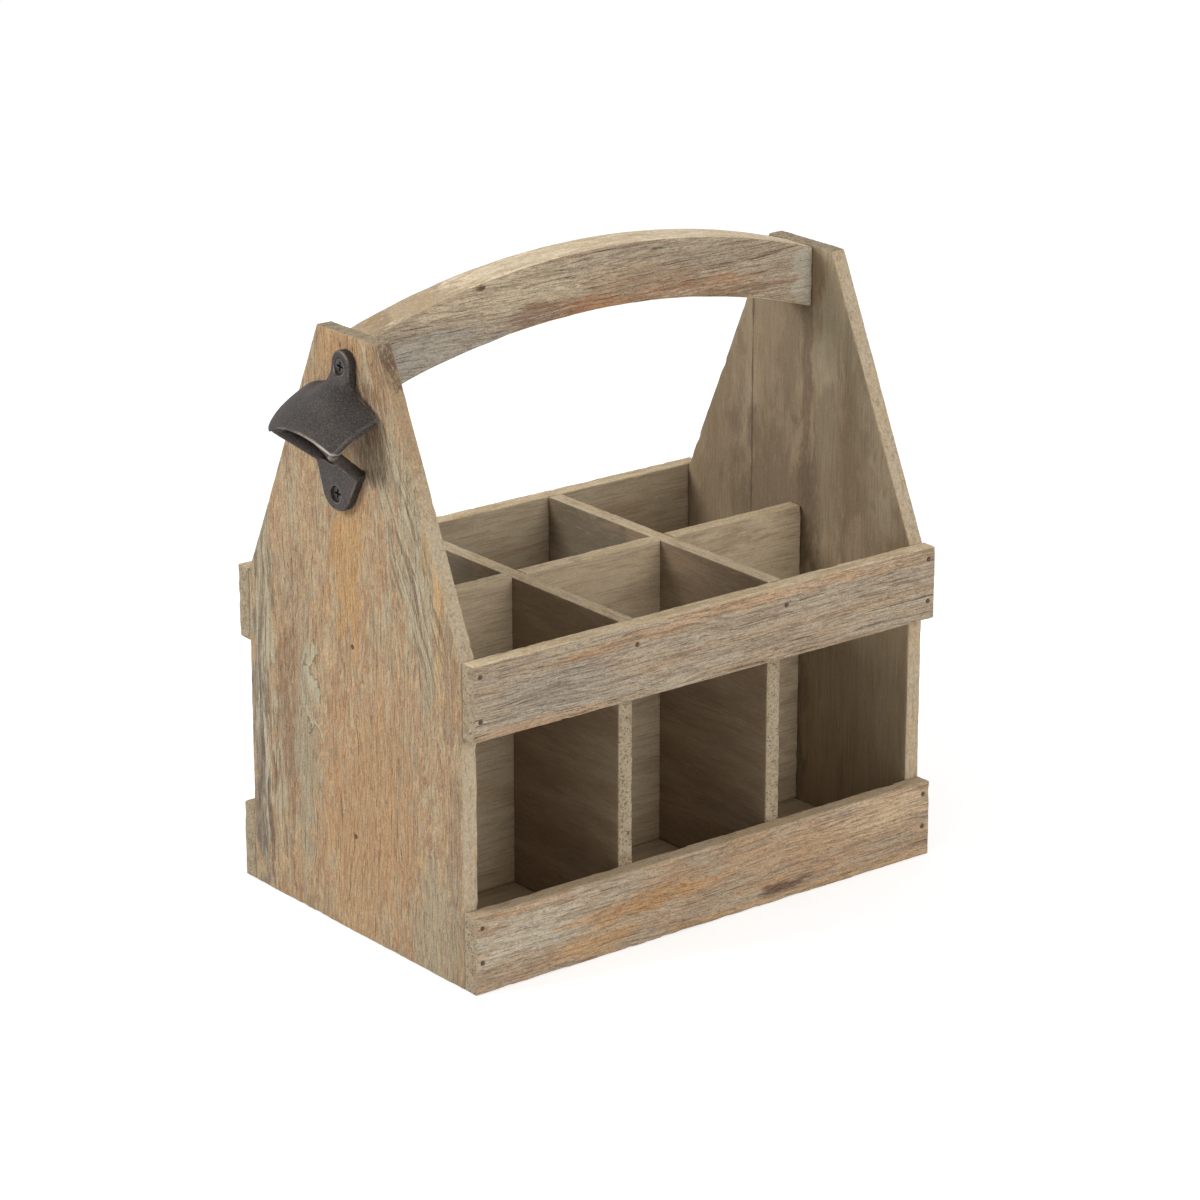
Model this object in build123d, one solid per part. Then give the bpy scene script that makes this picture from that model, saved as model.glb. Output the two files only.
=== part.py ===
from build123d import *
import math
import os

# Bottle caddy for six bottles, nailed together from sawn boards, with a cast bottle opener screwed
# to one end.
# Lengths are millimetres and angles are degrees. X runs along the caddy, Y across it and Z up.
# The origin lies on the surface that the caddy stands on, under the middle of the body.

# The body as a whole
caddy_length = 280.0
body_depth = 170.0
cell_columns = 3

# End panels: upright boards with a tapered top
end_panel_thickness = 8.6
end_panel_height = 294.5
end_panel_shoulder_height = 158.5
end_panel_top_width = 46.8

# Slats nailed across the front and back edges of the end panels
slat_thickness = 9.0
upper_slat_bottom = 123.6
upper_slat_height = 36.9
lower_slat_height = 38.8

# Bottom board and the dividers that stand on it
bottom_board_thickness = 4.0
divider_thickness = 8.5
lap_clearance = 0.15
lap_height_share = 0.5

# Handle: an arched board between the end panels
handle_thickness = 20.0
handle_height = 30.2
handle_rise = 21.0
handle_set_down = 0.6
handle_edge_ease = 1.0

# Brads
nail_head_radius = 0.95
nail_head_thickness = 0.6
nail_shank_radius = 0.6
nail_point_length = 1.6
nail_length = 25.0
floor_nail_length = 16.0
nail_set_depth = 0.3
nail_clearance = 0.03

# Places of the brads
upper_slat_nail_height_shares = (0.26, 0.84)
lower_slat_nail_height_shares = (0.40, 0.84)
cross_divider_nail_height_share = 0.73
long_divider_nail_height_shares = (0.29, 0.895)
handle_nail_spacing = 9.6
handle_nail_drop = 5.4
floor_nail_reach_share = 0.72

# Countersunk wood screws of the opener
screw_head_radius = 3.8
screw_shank_radius = 1.9
screw_length = 11.5
screw_point_length = 4.0
screw_recess_width = 1.1
screw_recess_span = 4.6
screw_recess_depth = 1.4
screw_clearance = 0.15
upper_screw_sink = 0.3
lower_screw_sink = 1.4

# Place of the opener on the left end panel: its two screw holes, how far their middle lies below
# the panel's top, its shift to the back and its lean
opener_screw_spacing = 62.2
opener_middle_drop = 45.1
opener_side_shift = 1.6
opener_lean = 4.8

# Lugs and lower plate of the opener; heights are from the middle between its screws
opener_plate_thickness = 4.6
upper_lug_radius = 6.3
upper_lug_centre_height = 32.6
neck_foot_height = 9.0
neck_top_height = 25.0
neck_reach = 12.0
neck_meet_height = 15.0
lower_lug_radius = 10.8
lower_lug_centre_drop = 28.0
shelf_drop = 17.5
shelf_half_width = 17.0
casting_edge_radius = 0.8

# Hood of the opener: a leaning oval dome, hollow behind, with a slanted side rim and an arched front lip
hood_half_width = 28.6
hood_reach = 35.6
hood_dome_height = 7.6
hood_skirt_height = 17.0
hood_wall = 3.4
hood_slope = 22.5
hood_centre_out = 4.1
hood_centre_height = 11.1
hood_stand_off = 3.0
rim_start_height = 12.5
fang_back_out = 17.5
fang_back_drop = 1.5
fang_out = 21.0
fang_drop = 4.6
lip_arch_height = 4.8
lip_arch_side_shift = 1.2
lip_arch_half_width = 19.6
lip_arch_rise = 4.6
lip_foot_half_width = 22.0
lip_cut_start = 24.5

# Struts from the hood's two lower corners back to the shelf
strut_width = 4.6
strut_depth = 4.8
strut_top_out = 21.5
strut_top_half_width = 21.8
strut_top_drop = 3.6
strut_foot_out = 2.8
strut_foot_half_width = 14.4
strut_foot_drop = 17.0

# Length that cuts and borings run past a face
overrun = 5.0

# Sizes worked out from the ones above
end_inner_x = caddy_length / 2 - end_panel_thickness
inner_y = body_depth / 2
outer_y = inner_y + slat_thickness
inner_length = 2 * end_inner_x
cell_length = (inner_length - (cell_columns - 1) * divider_thickness) / cell_columns
cross_divider_xs = [
    -end_inner_x + (i + 1) * cell_length + (i + 0.5) * divider_thickness
    for i in range(cell_columns - 1)
]
divider_top = upper_slat_bottom + upper_slat_height
divider_height = divider_top - bottom_board_thickness
lap_level = bottom_board_thickness + divider_height * lap_height_share
handle_end_top = end_panel_height - handle_set_down
opener_middle_height = end_panel_height - opener_middle_drop


def board(x_low, x_high, y_low, y_high, z_low, z_high):
    """A square-edged board between two places on each axis."""
    middle = Pos((x_low + x_high) / 2, (y_low + y_high) / 2, (z_low + z_high) / 2)
    return middle * Box(x_high - x_low, y_high - y_low, z_high - z_low)


def brad(length, clearance=0.0, bore=False):
    """A brad that points down from its head's top at Z = 0; as a bore it is wider and open above."""
    head_radius = nail_head_radius + clearance
    shank_radius = nail_shank_radius + clearance
    head = Pos(0, 0, -nail_head_thickness / 2) * Cylinder(head_radius, nail_head_thickness)
    straight = length - nail_head_thickness - nail_point_length
    shank = Pos(0, 0, -nail_head_thickness - straight / 2) * Cylinder(shank_radius, straight)
    point_middle = -length + nail_point_length / 2
    if bore:
        point = Pos(0, 0, point_middle) * Cylinder(shank_radius, nail_point_length)
        mouth_height = nail_set_depth + overrun
        mouth = Pos(0, 0, mouth_height / 2) * Cylinder(head_radius, mouth_height)
        return mouth + head + shank + point
    point = Pos(0, 0, point_middle) * Cone(0, shank_radius, nail_point_length)
    return head + shank + point


def brad_frames(places, outward):
    """Frames for brads driven in at places on a face whose normal is outward."""
    return [
        Plane(origin=Vector(place) - Vector(outward) * nail_set_depth, z_dir=outward)
        for place in places
    ]


def countersunk_screw():
    """A wood screw whose head's flat top is at Z = 0 and which points down, with a cross recess."""
    cone_height = screw_head_radius - screw_shank_radius
    straight = screw_length - cone_height - screw_point_length
    head = Pos(0, 0, -cone_height / 2) * Cone(screw_shank_radius, screw_head_radius, cone_height)
    shank = Pos(0, 0, -cone_height - straight / 2) * Cylinder(screw_shank_radius, straight)
    point_middle = -screw_length + screw_point_length / 2
    point = Pos(0, 0, point_middle) * Cone(0, screw_shank_radius, screw_point_length)
    slot_height = screw_recess_depth + overrun
    slot = Pos(0, 0, slot_height / 2 - screw_recess_depth) * Box(
        screw_recess_span, screw_recess_width, slot_height
    )
    return head + shank + point - slot - Rot(0, 0, 90) * slot


def screw_bore():
    """The countersunk hole for the screw, open above its head."""
    head_radius = screw_head_radius + screw_clearance
    shank_radius = screw_shank_radius + screw_clearance
    cone_height = head_radius - shank_radius
    mouth = Pos(0, 0, overrun / 2) * Cylinder(head_radius, overrun)
    seat = Pos(0, 0, -cone_height / 2) * Cone(shank_radius, head_radius, cone_height)
    shank = Pos(0, 0, -screw_length / 2) * Cylinder(shank_radius, screw_length)
    return mouth + seat + shank


def end_panel(side):
    """An upright end panel: a rectangle up to the shoulder, tapered above it to a narrow flat top."""
    half = body_depth / 2
    top_half = end_panel_top_width / 2
    outline = Polyline(
        (-half, 0),
        (half, 0),
        (half, end_panel_shoulder_height),
        (top_half, end_panel_height),
        (-top_half, end_panel_height),
        (-half, end_panel_shoulder_height),
        close=True,
    )
    panel = extrude(Plane.YZ * make_face(outline), amount=end_panel_thickness)
    low_x = end_inner_x if side > 0 else -end_inner_x - end_panel_thickness
    return Pos(low_x, 0, 0) * panel


def slat(side, bottom, height):
    """A slat across the front (side -1) or back (side 1), flush with the end panels' outer faces."""
    low_y, high_y = sorted((side * inner_y, side * outer_y))
    return board(-caddy_length / 2, caddy_length / 2, low_y, high_y, bottom, bottom + height)


def bottom_board():
    """The thin floor between the end panels and the lower slats."""
    return board(-end_inner_x, end_inner_x, -inner_y, inner_y, 0, bottom_board_thickness)


def long_divider():
    """The divider along the caddy, slotted from above for each cross divider."""
    half = divider_thickness / 2
    divider = board(-end_inner_x, end_inner_x, -half, half, bottom_board_thickness, divider_top)
    slot_half = half + lap_clearance
    for x in cross_divider_xs:
        divider -= board(
            x - slot_half, x + slot_half, -half - overrun, half + overrun, lap_level, divider_top + overrun
        )
    return divider


def cross_divider(x):
    """A divider across the caddy, slotted from below to drop over the long divider."""
    half = divider_thickness / 2
    divider = board(x - half, x + half, -inner_y, inner_y, bottom_board_thickness, divider_top)
    slot_half = half + lap_clearance
    slot_bottom = bottom_board_thickness - overrun
    slot = board(
        x - half - overrun, x + half + overrun, -slot_half, slot_half, slot_bottom, lap_level
    )
    return divider - slot


def handle():
    """The arched handle: two like arcs one above the other, butted between the end panels."""
    end_bottom = handle_end_top - handle_height
    top = ThreePointArc(
        (-end_inner_x, handle_end_top), (0, handle_end_top + handle_rise), (end_inner_x, handle_end_top)
    )
    right = Line((end_inner_x, handle_end_top), (end_inner_x, end_bottom))
    bottom = ThreePointArc(
        (end_inner_x, end_bottom), (0, end_bottom + handle_rise), (-end_inner_x, end_bottom)
    )
    left = Line((-end_inner_x, end_bottom), (-end_inner_x, handle_end_top))
    face = make_face(Plane.XZ * (top + right + bottom + left))
    arch = extrude(face, amount=handle_thickness / 2, both=True)
    return chamfer(arch.edges().filter_by(GeomType.CIRCLE), handle_edge_ease)


def opener_lugs():
    """The upper lug with its neck, and the lower plate with its round lower lug and its flat shelf."""
    neck_middle = (upper_lug_centre_height + neck_foot_height) / 2
    neck_height = upper_lug_centre_height - neck_foot_height
    upper = Pos(0, upper_lug_centre_height) * Circle(upper_lug_radius)
    upper += Pos(0, neck_middle) * Rectangle(2 * upper_lug_radius, neck_height)

    across = shelf_half_width
    up = lower_lug_centre_drop - shelf_drop
    reach = math.hypot(across, up)
    touch = math.atan2(up, across) - math.acos(lower_lug_radius / reach)
    touch_y = lower_lug_radius * math.cos(touch)
    touch_z = -lower_lug_centre_drop + lower_lug_radius * math.sin(touch)
    lower = Pos(0, -lower_lug_centre_drop) * Circle(lower_lug_radius)
    lower += make_face(
        Polyline(
            (-across, -shelf_drop), (across, -shelf_drop), (touch_y, touch_z), (-touch_y, touch_z), close=True
        )
    )
    plates = []
    for outline in (upper, lower):
        plate = extrude(Plane.YZ * outline, amount=opener_plate_thickness)
        front_edges = plate.edges().group_by(Axis.X)[-1]
        plates.append(fillet(front_edges, casting_edge_radius))
    return plates[0] + plates[1]


def opener_neck():
    """The wedge that carries the upper lug's face down on to the top of the hood."""
    side_view = Polyline(
        (hood_stand_off, neck_foot_height),
        (hood_stand_off, neck_top_height),
        (opener_plate_thickness, neck_top_height),
        (neck_reach, neck_meet_height),
        (neck_reach, neck_foot_height),
        close=True,
    )
    return extrude(make_face(Plane.XZ * side_view), amount=upper_lug_radius, both=True)


def hood_dome(inset):
    """A leaning oval dome over a straight skirt, smaller all round by the inset."""
    radius = hood_half_width - inset
    rise = hood_dome_height - inset
    outline = Line((0, -hood_skirt_height), (radius, -hood_skirt_height))
    outline += Line((radius, -hood_skirt_height), (radius, 0))
    outline += EllipticalCenterArc((0, 0), radius, rise, start_angle=0, arc_size=90)
    outline += Line((0, rise), (0, -hood_skirt_height))
    dome = revolve(make_face(Plane.XZ * outline), Axis.Z)
    stretch = (hood_reach - inset) / radius
    dome = scale(dome, by=(stretch, 1, 1))
    return Pos(hood_centre_out, 0, hood_centre_height) * Rot(0, hood_slope, 0) * dome


def hood_trim():
    """What is cut from below and behind the hood: the gap at the wall, the slanted rim and the front arch."""
    wide = hood_half_width + overrun
    low = -hood_half_width - overrun
    high = hood_half_width + overrun
    far = hood_reach + hood_half_width
    behind = board(-far, hood_stand_off, -wide, wide, low, high)
    under_view = Polyline(
        (0, low),
        (0, rim_start_height),
        (hood_stand_off, rim_start_height),
        (fang_back_out, -fang_back_drop),
        (fang_out, -fang_drop),
        (far, -fang_drop),
        (far, low),
        close=True,
    )
    under = extrude(make_face(Plane.XZ * under_view), amount=wide, both=True)
    arch_foot = lip_arch_height - lip_arch_rise
    arch_ends = (lip_arch_side_shift - lip_arch_half_width, lip_arch_side_shift + lip_arch_half_width)
    foot_ends = (-lip_foot_half_width, lip_foot_half_width)
    front_view = Line((foot_ends[1], low), (arch_ends[1], arch_foot))
    front_view += ThreePointArc(
        (arch_ends[1], arch_foot), (lip_arch_side_shift, lip_arch_height), (arch_ends[0], arch_foot)
    )
    front_view += Line((arch_ends[0], arch_foot), (foot_ends[0], low))
    front_view += Line((foot_ends[0], low), (foot_ends[1], low))
    front_plane = Plane.YZ.offset(lip_cut_start)
    front = extrude(make_face(front_plane * front_view), amount=far)
    return [behind, under, front]


def opener_strut(side):
    """A bar from the hood's lower corner back down to the end of the shelf."""
    top = Vector(strut_top_out, side * strut_top_half_width, -strut_top_drop)
    foot = Vector(strut_foot_out, side * strut_foot_half_width, -strut_foot_drop)
    along = top - foot
    plane = Plane(origin=foot, x_dir=(0, 1, 0), z_dir=along)
    return extrude(plane * Rectangle(strut_width, strut_depth), amount=along.length)


def opener_body():
    """The cast opener in its own frame: X out from the wood, Z up, middle between its screws."""
    hood = opener_neck() + hood_dome(0)
    hood = hood - hood_dome(hood_wall)
    for cut in hood_trim():
        hood = hood - cut
    opener = opener_lugs() + hood + opener_strut(1) + opener_strut(-1)
    wood = board(-hood_half_width, 0, -hood_half_width, hood_half_width, -shelf_drop - overrun, 0)
    opener = opener - wood
    for frame in screw_frames():
        opener -= frame * screw_bore()
    return opener


def screw_frames():
    """The seats of the two screws in the opener's own frame, upper one first."""
    half = opener_screw_spacing / 2
    upper = Vector(opener_plate_thickness - upper_screw_sink, 0, half)
    lower = Vector(opener_plate_thickness - lower_screw_sink, 0, -half)
    return [Plane(origin=place, z_dir=(1, 0, 0)) for place in (upper, lower)]


opener_place = (
    Pos(-caddy_length / 2, opener_side_shift, opener_middle_height) * Rot(opener_lean, 0, 0) * Rot(0, 0, 180)
)


def slat_nail_places(side, bottom, height, shares, middle_share=None):
    """Where a slat is nailed to the end panels and, with a middle share, to the cross dividers."""
    end_x = end_inner_x + end_panel_thickness / 2
    places = [(x, side * outer_y, bottom + height * share) for x in (-end_x, end_x) for share in shares]
    if middle_share is not None:
        places += [(x, side * outer_y, bottom + height * middle_share) for x in cross_divider_xs]
    return places


def nail_sets():
    """Each named group of brads: the frames it is driven in, its length and the boards that it passes."""
    sets = {}
    for side, word in ((-1, "front"), (1, "back")):
        across = (0, side, 0)
        upper_places = slat_nail_places(
            side, upper_slat_bottom, upper_slat_height, upper_slat_nail_height_shares,
            cross_divider_nail_height_share,
        )
        lower_places = slat_nail_places(side, 0, lower_slat_height, lower_slat_nail_height_shares)
        ends = ["left_end_panel", "right_end_panel"]
        crosses = ["left_cross_divider", "right_cross_divider"]
        sets[f"{word}_upper_slat_nails"] = (
            brad_frames(upper_places, across), nail_length, [f"{word}_upper_slat"] + ends + crosses
        )
        sets[f"{word}_lower_slat_nails"] = (
            brad_frames(lower_places, across), nail_length, [f"{word}_lower_slat"] + ends
        )
    for side, word in ((-1, "left"), (1, "right")):
        along = (side, 0, 0)
        end_x = side * caddy_length / 2
        handle_z = handle_end_top - handle_nail_drop
        handle_places = [(end_x, share * handle_nail_spacing, handle_z) for share in (-0.5, 0.5)]
        sets[f"{word}_handle_nails"] = (
            brad_frames(handle_places, along), nail_length, [f"{word}_end_panel", "handle"]
        )
        divider_places = [
            (end_x, 0, bottom_board_thickness + divider_height * share)
            for share in long_divider_nail_height_shares
        ]
        sets[f"{word}_divider_nails"] = (
            brad_frames(divider_places, along), nail_length, [f"{word}_end_panel", "long_divider"]
        )
    floor_places = [(x, y * inner_y * floor_nail_reach_share, 0) for x in cross_divider_xs for y in (-1, 1)]
    floor_places += [(x, 0, 0) for x in (-cell_length, cell_length)]
    sets["bottom_board_nails"] = (
        brad_frames(floor_places, (0, 0, -1)),
        floor_nail_length,
        ["bottom_board", "long_divider", "left_cross_divider", "right_cross_divider"],
    )
    return sets


def build_boards():
    """Every board, before it is bored for its brads and screws."""
    boards = {
        "left_end_panel": end_panel(-1),
        "right_end_panel": end_panel(1),
        "bottom_board": bottom_board(),
        "long_divider": long_divider(),
        "left_cross_divider": cross_divider(cross_divider_xs[0]),
        "right_cross_divider": cross_divider(cross_divider_xs[-1]),
        "handle": handle(),
    }
    for side, word in ((-1, "front"), (1, "back")):
        boards[f"{word}_upper_slat"] = slat(side, upper_slat_bottom, upper_slat_height)
        boards[f"{word}_lower_slat"] = slat(side, 0, lower_slat_height)
    return boards


def build_caddy():
    """Every node of the caddy by name."""
    boards = build_boards()
    fasteners = {}
    for name, (frames, length, passes) in nail_sets().items():
        fasteners[name] = Compound(children=[frame * brad(length) for frame in frames])
        bores = [frame * brad(length, nail_clearance, bore=True) for frame in frames]
        for passed in passes:
            boards[passed] = boards[passed] - bores
    seats = [opener_place * frame.location for frame in screw_frames()]
    for seat, word in zip(seats, ("upper", "lower")):
        fasteners[f"{word}_opener_screw"] = seat * countersunk_screw()
        boards["left_end_panel"] = boards["left_end_panel"] - seat * screw_bore()
    return {**boards, "bottle_opener": opener_place * opener_body(), **fasteners}


os.makedirs("parts", exist_ok=True)
for node, shape in build_caddy().items():
    export_step(shape, f"parts/{node}.step")
    print(node, len(shape.solids()), round(shape.volume, 1))
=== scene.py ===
# %% [markdown]
# # A nailed bottle caddy, dressed
#
# The object is a carrier for six bottles: sawn boards, limewashed and left to weather, nailed together with
# brads, with a cast opener screwed to its left end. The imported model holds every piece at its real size, with
# sharp edges and no finish. The cells below give each board a worn skin, each surface its grain and the
# caddy its light. Nothing here changes a size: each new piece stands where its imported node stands.

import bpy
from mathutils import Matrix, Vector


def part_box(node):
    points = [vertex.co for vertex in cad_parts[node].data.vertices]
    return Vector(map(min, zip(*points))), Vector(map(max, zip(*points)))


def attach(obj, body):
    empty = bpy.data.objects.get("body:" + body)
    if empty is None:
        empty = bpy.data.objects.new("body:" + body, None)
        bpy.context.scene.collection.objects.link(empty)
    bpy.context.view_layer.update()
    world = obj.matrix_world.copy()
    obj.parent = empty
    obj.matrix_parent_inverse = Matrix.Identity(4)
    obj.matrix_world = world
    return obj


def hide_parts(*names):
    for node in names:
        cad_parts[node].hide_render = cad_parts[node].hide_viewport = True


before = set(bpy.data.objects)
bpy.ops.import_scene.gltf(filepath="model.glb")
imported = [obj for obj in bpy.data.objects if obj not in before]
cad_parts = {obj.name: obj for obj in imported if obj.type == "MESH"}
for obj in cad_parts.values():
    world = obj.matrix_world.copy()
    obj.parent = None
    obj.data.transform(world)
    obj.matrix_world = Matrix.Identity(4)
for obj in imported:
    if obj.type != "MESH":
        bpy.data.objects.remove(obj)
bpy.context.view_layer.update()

# %% Bring in the libraries
import math

import bpy
import numpy as np
from mathutils import Euler, Vector

mm = 0.001

# %% [markdown]
# ## Reading sizes from the model
#
# Sizes could be typed again here, but then they could drift from the model. So each one is read from the
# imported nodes: the corners of a node's box, or the corners of its mesh where a box says too little.

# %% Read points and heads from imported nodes
on_plane, head_width = 0.01 * mm, 2.5 * mm


def node_points(node):
    """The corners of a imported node's mesh, one row each, in metres."""
    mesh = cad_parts[node].data
    flat = np.empty(len(mesh.vertices) * 3, np.float32)
    mesh.vertices.foreach_get("co", flat)
    return flat.reshape(-1, 3).astype(float)


def heads_of(node, axis, side):
    """A node's brad heads as triples of axis, side and place: the points on its outermost plane, where those
    closer to each other than a head is wide are one head."""
    points = node_points(node)
    outward = points[:, axis] * side
    rim = points[outward > outward.max() - on_plane]
    heads = []
    while len(rim):
        near = np.linalg.norm(rim - rim[0], axis=1) < head_width
        heads.append((axis, side, rim[near].mean(axis=0)))
        rim = rim[~near]
    return heads


panel_points = node_points("left_end_panel")
panel_half, panel_top = panel_points[:, 1].max(), panel_points[:, 2].max()
shoulder = panel_points[panel_points[:, 1] > panel_half - on_plane, 2].max()
panel_top_half = panel_points[panel_points[:, 2] > panel_top - on_plane, 1].max()
print("Panel: half width", panel_half, "top", panel_top_half, "height", panel_top, "shoulder", shoulder)

# %% [markdown]
# ## A worn board as a lattice skin
#
# A sawn board is a box, but a plain box looks like plastic: real arrises are eased, wavy and chipped. A bevel
# would round them all alike. So each board is a lattice of planes, close together near its arrises, and its
# skin is the set of lattice faces between kept and empty cells. Leaving cells out makes the lap slots of the
# dividers. The skin's points are then moved by formulas: first eased, then worn, then bent or tapered.

# %% Noise on whole arrays
place_factors, seed_factor, mixing_factor = (73856093, 19349663, 83492791), 2654435761, 1274126177
kept_bits, value_bits = 0xFFFFFFFF, 0xFFFF


def lattice_noise(points, cell, seed):
    """Smooth noise from -1 to 1. Each corner of a grid of the given cell size gets a random value from a hash
    of its whole-number place, and a point takes the mean of its cell's eight corners, weighted by a smooth
    step along each axis."""
    cells = points / np.asarray(cell, float)
    corner = np.floor(cells).astype(np.int64)
    share = cells - corner
    share = share * share * (3 - 2 * share)
    total = np.zeros(len(points))
    for offset in np.ndindex(2, 2, 2):
        key = np.bitwise_xor.reduce((corner + offset) * place_factors, axis=1) ^ seed * seed_factor
        key = (key ^ key >> 13) * mixing_factor & kept_bits
        value = (key >> 8 & value_bits) / (value_bits / 2) - 1
        total += value * np.prod(np.where(offset, share, 1 - share), axis=1)
    return total

# %% Planes of the lattice
edge_offsets = np.array([0.0, 0.12, 0.3, 0.55, 0.85, 1.25, 1.8]) * mm
dent_offsets = np.array([-1.9, -1.45, -1.15, -0.9, -0.5, 0.0, 0.5, 0.9, 1.15, 1.45, 1.9]) * mm
dent_gap = 0.2 * mm


def lattice_planes(low, high, pitch, dents=()):
    """Places of the planes along one axis: crowded at both ends and round each dent, a pitch apart between."""
    margin = min(edge_offsets[-1], (high - low) / 2)
    offsets = edge_offsets[edge_offsets <= margin]
    count = max(1, round((high - low - 2 * margin) / pitch))
    core = np.linspace(low + margin, high - margin, count + 1)
    for dent in dents:
        core = core[np.abs(core - dent) > dent_offsets[-1] + dent_gap]
        core = np.concatenate([core, dent + dent_offsets])
    core = core[(core > low + margin - 1e-9) & (core < high - margin + 1e-9)]
    planes = np.concatenate([low + offsets, core, high - offsets, [low + margin, high - margin]])
    return np.unique(np.round(planes, 7))

# %% Skin of the kept cells


def lattice_skin(planes, keep):
    """The skin of the kept cells. Along each axis the change of keep from one cell to the next marks a face:
    from empty to kept it looks down the axis, from kept to empty it looks up. Returns the points, the quads
    and, for each quad, the number of its face in the order -X, +X, -Y, +Y, -Z and +Z."""
    counts = [len(p) for p in planes]
    padded = np.pad(keep, 1).astype(np.int8)
    quads, faces = [], []
    for axis in range(3):
        second, third = (axis + 1) % 3, (axis + 2) % 3
        inner = [slice(1, -1)] * 3
        inner[axis] = slice(None)
        change = np.diff(padded, axis=axis)[tuple(inner)]
        for side in (-1, 1):
            corner = np.argwhere(change == -side)
            steps = np.zeros((4, 3), int)
            steps[:, [second, third]] = [(0, 0), (1, 0), (1, 1), (0, 1)][::side]
            places = corner[:, None, :] + steps
            quads.append((places[..., 0] * counts[1] + places[..., 1]) * counts[2] + places[..., 2])
            faces.append(np.full(len(corner), 2 * axis + (side > 0)))
    used, quads = np.unique(np.concatenate(quads), return_inverse=True)
    points = np.column_stack([p[i] for p, i in zip(planes, np.unravel_index(used, counts))])
    return points, quads.reshape(-1, 4), np.concatenate(faces)

# %% [markdown]
# ## Wear
#
# Hands, bottles and the saw wear a board most at its arrises. Each point knows how far it lies from the
# board's planes. What reaches past the eased core is drawn back to a quarter round, and then the arris is
# pushed in a little more by noise: a slow waver, a fine fuzz from the saw and a few chips. Every push goes
# inwards, so the board never grows.

# %% Ease and wear the skin
worn_width, waver_depth, fuzz_depth = 1.6 * mm, 0.05 * mm, 0.13 * mm
ease_cell, waver_cell, fuzz_cell, chip_cell = 11 * mm, 17 * mm, 2.4 * mm, 5.5 * mm
ease_spread, chip_level = 0.45, 0.35


def wear(points, low, high, seed, radius, chip):
    """Eases and wears a box's skin. The excess of a point is how far it reaches past the core that the radius
    leaves, and it is drawn back to the length of the radius, which makes quarter rounds. The push inwards is
    waver times noise everywhere and, times the nearness to an arris, fuzz and chip times noise."""
    to_low, to_high = points - low, high - points
    near = np.minimum(to_low, to_high)
    outward = np.where(to_high < to_low, 1.0, -1.0)
    arris = np.sort(near, axis=1)[:, 1]
    reach = (radius * (1 + ease_spread * lattice_noise(points, ease_cell, seed)))[:, None]
    excess = np.clip(reach - near, 0, None)
    size = np.maximum(np.linalg.norm(excess, axis=1, keepdims=True), 1e-9)
    eased = points + outward * excess * (np.minimum(reach / size, 1) - 1)
    waver = waver_depth * (1 + lattice_noise(points, waver_cell, seed + 1))
    fuzz = fuzz_depth * (1 + lattice_noise(points, fuzz_cell, seed + 2))
    flake = np.clip(lattice_noise(points, chip_cell, seed + 3) - chip_level, 0, None) / (1 - chip_level)
    push = waver + np.clip(1 - arris / worn_width, 0, 1) * (fuzz + chip * flake)
    return eased - outward * excess / size * push[:, None], arris

# %% [markdown]
# ## Dents at the brads
#
# A brad is driven a little below the surface and leaves a small round dent with a dark rim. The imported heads
# sit there already, so the board only needs the dent. Each point also keeps its distance from the nearest
# head, because iron stains the wood round it.

# %% Dent the board at each head
dent_radius, dent_lip, dent_depth = 1.05 * mm, 0.75 * mm, 0.5 * mm
face_depth, far_away = 0.6 * mm, 20 * mm


def dent(points, low, high, heads):
    """Pushes the points near a head straight in: by the full depth inside the dent's radius, and by a smooth
    step down to nothing across its lip. Returns the points and their distance from the nearest head."""
    nearest = np.full(len(points), far_away)
    for axis, side, place in heads:
        flat = [a for a in range(3) if a != axis]
        face = high[axis] if side > 0 else low[axis]
        on_face = np.abs(points[:, axis] - face) < face_depth
        away = np.linalg.norm(points[:, flat] - place[flat], axis=1)
        share = np.clip(1 - (away - dent_radius) / dent_lip, 0, 1)
        depth = dent_depth * share * share * (3 - 2 * share)
        points[:, axis] -= side * np.where(on_face, depth, 0)
        nearest = np.where(on_face, np.minimum(nearest, away), nearest)
    return points, nearest

# %% Put a skin into a mesh
sharp_angle = math.radians(50)


def put_in_scene(name, data):
    """A new object for a mesh, a lamp or a camera, linked to the scene."""
    thing = bpy.data.objects.new(name, data)
    bpy.context.scene.collection.objects.link(thing)
    return thing


def mesh_from_quads(name, points, quads, finishes, finish_of_quad, marks):
    """A mesh object from arrays of points and quads. Marks are numbers kept at each point, such as its
    distance from the arris, which the finishes read. Shading is smooth except across sharp angles."""
    mesh = bpy.data.meshes.new(name)
    mesh.from_pydata(points.tolist(), [], quads.tolist())
    for finish in finishes:
        mesh.materials.append(finish)
    mesh.polygons.foreach_set("material_index", finish_of_quad)
    for mark, values in marks.items():
        layer = mesh.attributes.new(mark, "FLOAT", "POINT")
        layer.data.foreach_set("value", values.astype(np.float32))
    mesh.shade_smooth()
    mesh.set_sharp_from_angle(angle=sharp_angle)
    return put_in_scene(name, mesh)

# %% Build one board


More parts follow.
